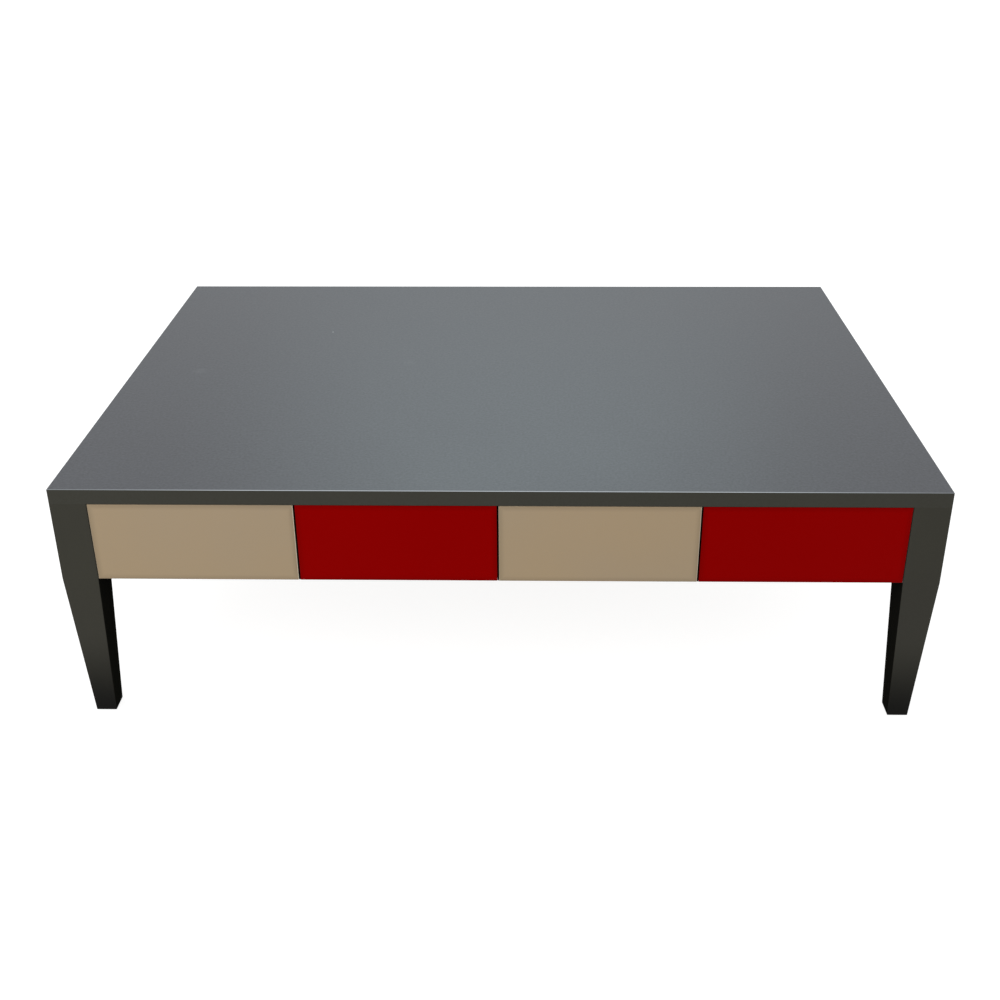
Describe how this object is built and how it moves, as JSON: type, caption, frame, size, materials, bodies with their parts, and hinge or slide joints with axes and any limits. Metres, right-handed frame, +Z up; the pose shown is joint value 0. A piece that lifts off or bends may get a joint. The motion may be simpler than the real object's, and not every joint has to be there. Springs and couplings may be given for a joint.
{
  "type": "coffee table with drawers",
  "caption": "Low rectangular coffee table with a flush lacquered top, tapered square legs and a row of handle-less inset drawers along the front, each on ball-bearing slides.",
  "frame": {"origin": "on the floor, under the middle of the table", "axes": "+X to the right seen from the drawers' side, +Y from the drawers to the back, +Z up"},
  "size_m": [1.2, 0.8, 0.375],
  "materials": {
    "grey_lacquer": "satin lacquer",
    "cream_lacquer": "satin lacquer",
    "red_lacquer": "satin lacquer",
    "case_board": "matt lacquer",
    "birch_plywood": "clear matt lacquer",
    "beech": "bare",
    "slide_steel": "zinc plated",
    "screw_steel": "zinc plated",
    "glide_nylon": "matt"
  },
  "bodies": {
    "table": {"top_panel": "grey_lacquer", "leg_front_left": "grey_lacquer", "leg_front_right": "grey_lacquer", "leg_back_left": "grey_lacquer", "leg_back_right": "grey_lacquer", "side_apron_left": "grey_lacquer", "side_apron_right": "grey_lacquer", "back_apron": "grey_lacquer", "case_side_left": "case_board", "case_side_right": "case_board", "divider_1": "case_board", "divider_2": "case_board", "divider_3": "case_board", "tie_rail_front": "case_board", "tie_rail_back": "case_board", "frame_dowels": "beech", "case_dowels": "beech", "case_screws": "screw_steel", "slide_screws": "screw_steel", "leg_glides": "glide_nylon", "drawer_1_slide_outer": "slide_steel", "drawer_2_slide_outer": "slide_steel", "drawer_3_slide_outer": "slide_steel", "drawer_4_slide_outer": "slide_steel"},
    "drawer_1": {"drawer_1_front": "cream_lacquer", "drawer_1_box_front": "birch_plywood", "drawer_1_side_left": "birch_plywood", "drawer_1_side_right": "birch_plywood", "drawer_1_box_back": "birch_plywood", "drawer_1_bottom": "birch_plywood", "drawer_1_slide_inner": "slide_steel", "drawer_1_screws": "screw_steel"},
    "ball_cages_1": {"drawer_1_ball_cages": "slide_steel"},
    "drawer_2": {"drawer_2_front": "red_lacquer", "drawer_2_box_front": "birch_plywood", "drawer_2_side_left": "birch_plywood", "drawer_2_side_right": "birch_plywood", "drawer_2_box_back": "birch_plywood", "drawer_2_bottom": "birch_plywood", "drawer_2_slide_inner": "slide_steel", "drawer_2_screws": "screw_steel"},
    "ball_cages_2": {"drawer_2_ball_cages": "slide_steel"},
    "drawer_3": {"drawer_3_front": "cream_lacquer", "drawer_3_box_front": "birch_plywood", "drawer_3_side_left": "birch_plywood", "drawer_3_side_right": "birch_plywood", "drawer_3_box_back": "birch_plywood", "drawer_3_bottom": "birch_plywood", "drawer_3_slide_inner": "slide_steel", "drawer_3_screws": "screw_steel"},
    "ball_cages_3": {"drawer_3_ball_cages": "slide_steel"},
    "drawer_4": {"drawer_4_front": "red_lacquer", "drawer_4_box_front": "birch_plywood", "drawer_4_side_left": "birch_plywood", "drawer_4_side_right": "birch_plywood", "drawer_4_box_back": "birch_plywood", "drawer_4_bottom": "birch_plywood", "drawer_4_slide_inner": "slide_steel", "drawer_4_screws": "screw_steel"},
    "ball_cages_4": {"drawer_4_ball_cages": "slide_steel"}
  },
  "joints": [
    {"name": "drawer_1_slide", "type": "slide", "parent": "table", "child": "drawer_1", "axis": [0, -1, 0], "range_m": [0, 0.379]},
    {"name": "ball_cages_1_roll", "type": "slide", "parent": "table", "child": "ball_cages_1", "axis": [0, -1, 0], "range_m": [0, 0.1895]},
    {"name": "drawer_2_slide", "type": "slide", "parent": "table", "child": "drawer_2", "axis": [0, -1, 0], "range_m": [0, 0.379]},
    {"name": "ball_cages_2_roll", "type": "slide", "parent": "table", "child": "ball_cages_2", "axis": [0, -1, 0], "range_m": [0, 0.1895]},
    {"name": "drawer_3_slide", "type": "slide", "parent": "table", "child": "drawer_3", "axis": [0, -1, 0], "range_m": [0, 0.379]},
    {"name": "ball_cages_3_roll", "type": "slide", "parent": "table", "child": "ball_cages_3", "axis": [0, -1, 0], "range_m": [0, 0.1895]},
    {"name": "drawer_4_slide", "type": "slide", "parent": "table", "child": "drawer_4", "axis": [0, -1, 0], "range_m": [0, 0.379]},
    {"name": "ball_cages_4_roll", "type": "slide", "parent": "table", "child": "ball_cages_4", "axis": [0, -1, 0], "range_m": [0, 0.1895]}
  ],
  "couplings": [
    {"joint": "ball_cages_1_roll", "follows": "drawer_1_slide", "ratio": 0.5},
    {"joint": "ball_cages_2_roll", "follows": "drawer_2_slide", "ratio": 0.5},
    {"joint": "ball_cages_3_roll", "follows": "drawer_3_slide", "ratio": 0.5},
    {"joint": "ball_cages_4_roll", "follows": "drawer_4_slide", "ratio": 0.5}
  ]
}
